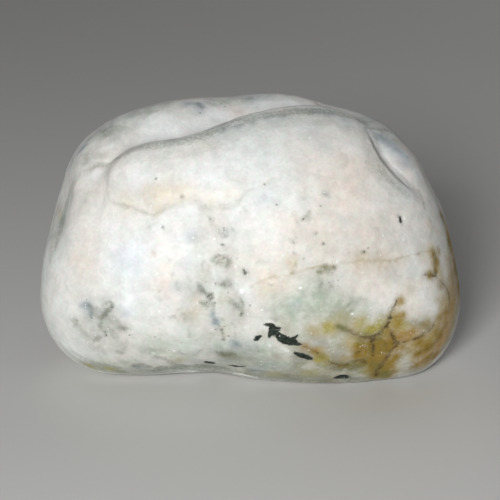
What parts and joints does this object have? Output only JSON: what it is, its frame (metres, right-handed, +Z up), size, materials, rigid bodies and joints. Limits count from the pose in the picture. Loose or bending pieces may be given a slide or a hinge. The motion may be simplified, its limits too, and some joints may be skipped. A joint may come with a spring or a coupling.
{
  "type": "river pebble",
  "caption": "Water-worn river pebble of pale speckled stone, with a folded lobe across its front and a worn flat underside that it rests on.",
  "frame": {"origin": "on the resting plane, under the middle of the stone's bounding box", "axes": "+X along the stone, +Y from its front to its back, +Z up"},
  "size_m": [0.083, 0.057, 0.0525],
  "materials": {
    "stone": "satin"
  },
  "bodies": {
    "root": {"pebble": "stone"}
  },
  "joints": []
}
